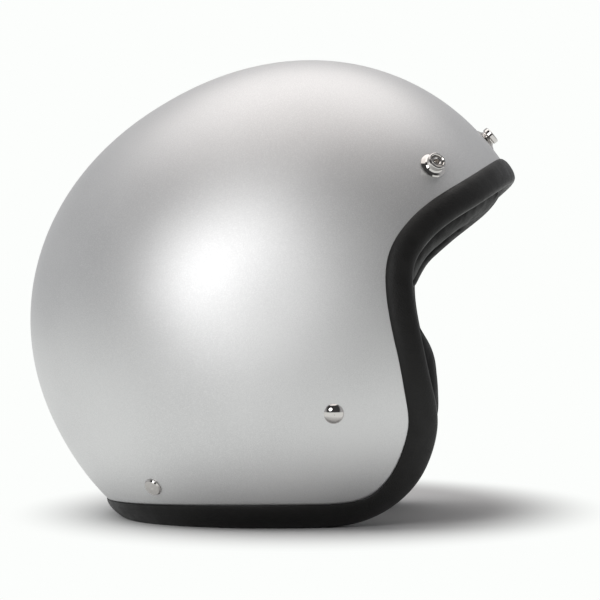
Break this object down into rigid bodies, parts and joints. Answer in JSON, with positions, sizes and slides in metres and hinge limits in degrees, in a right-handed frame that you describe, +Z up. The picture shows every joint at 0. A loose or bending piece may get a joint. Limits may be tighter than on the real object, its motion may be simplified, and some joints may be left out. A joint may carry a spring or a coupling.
{
  "type": "open face motorcycle helmet",
  "caption": "Open face motorcycle helmet: rounded silver shell with rolled black edge trim, padded lining, snap studs and a chin strap with D-rings.",
  "frame": {"origin": "under the middle of the helmet's box, on the plane that its lower rim stands on", "axes": "+X the way the face looks, +Y the wearer's left, +Z up"},
  "size_m": [0.262, 0.2326, 0.2463],
  "materials": {
    "shell_paint": "satin metallic silver",
    "trim_rubber": "matte",
    "liner_foam": "moulded bead foam",
    "lining_cloth": "quilted cloth",
    "lining_leather": "soft grained leatherette",
    "snap_plastic": "moulded",
    "chrome": "polished",
    "plate_steel": "plain",
    "ring_steel": "polished wire",
    "sleeve_cloth": "soft padded cloth",
    "webbing": "flat woven webbing"
  },
  "bodies": {
    "helmet": {"anchor_plate_front_left": "plate_steel", "anchor_plate_front_right": "plate_steel", "anchor_plate_rear_left": "plate_steel", "anchor_plate_rear_right": "plate_steel", "brow_pad": "lining_leather", "cheek_block_left": "liner_foam", "cheek_block_right": "liner_foam", "cheek_pad_left": "lining_leather", "cheek_pad_right": "lining_leather", "cheek_snap_posts_left": "snap_plastic", "cheek_snap_posts_right": "snap_plastic", "cheek_snap_sockets_left": "snap_plastic", "cheek_snap_sockets_right": "snap_plastic", "crown_pad": "lining_cloth", "edge_trim": "trim_rubber", "front_strap_leg_left": "webbing", "front_strap_leg_right": "webbing", "impact_liner": "liner_foam", "neck_roll": "lining_leather", "outer_shell": "shell_paint", "rear_strap_leg_left": "webbing", "rear_strap_leg_right": "webbing", "rivet_washers": "plate_steel", "snap_stud_center": "chrome", "snap_stud_left": "chrome", "snap_stud_right": "chrome", "strap_rivet_front_left": "chrome", "strap_rivet_front_right": "chrome", "strap_rivet_rear_left": "chrome", "strap_rivet_rear_right": "chrome", "stud_eyelets": "chrome", "stud_washers": "plate_steel"},
    "strap_left": {"chin_strap_left": "webbing", "strap_sleeve_left": "sleeve_cloth"},
    "ring_outer": {"d_ring_outer": "ring_steel"},
    "ring_inner": {"d_ring_inner": "ring_steel"},
    "strap_right": {"chin_strap_right": "webbing", "strap_sleeve_right": "sleeve_cloth", "tail_snap_stud": "chrome"},
    "tail": {"strap_tail": "webbing", "tail_snap_cap": "chrome"}
  },
  "joints": [
    {"name": "left_strap_swing", "type": "hinge", "parent": "helmet", "child": "strap_left", "pos_m": [0.0373, 0.066, 0.0038], "axis": [1, 0, 0], "range_deg": [0, 90]},
    {"name": "outer_ring_turn", "type": "hinge", "parent": "strap_left", "child": "ring_outer", "pos_m": [0.0373, 0.01, 0.0038], "axis": [1, 0, 0], "range_deg": [-120, 120]},
    {"name": "inner_ring_turn", "type": "hinge", "parent": "strap_left", "child": "ring_inner", "pos_m": [0.0373, 0.005, 0.0038], "axis": [1, 0, 0], "range_deg": [-120, 120]},
    {"name": "right_strap_swing", "type": "hinge", "parent": "helmet", "child": "strap_right", "pos_m": [0.0373, -0.066, 0.0038], "axis": [-0.866, -0.5, 0], "range_deg": [0, 90]},
    {"name": "tail_unfold", "type": "hinge", "parent": "strap_right", "child": "tail", "pos_m": [-0.0147, 0.02407, 0.00492], "axis": [-0.866, -0.5, 0], "range_deg": [0, 170]}
  ]
}
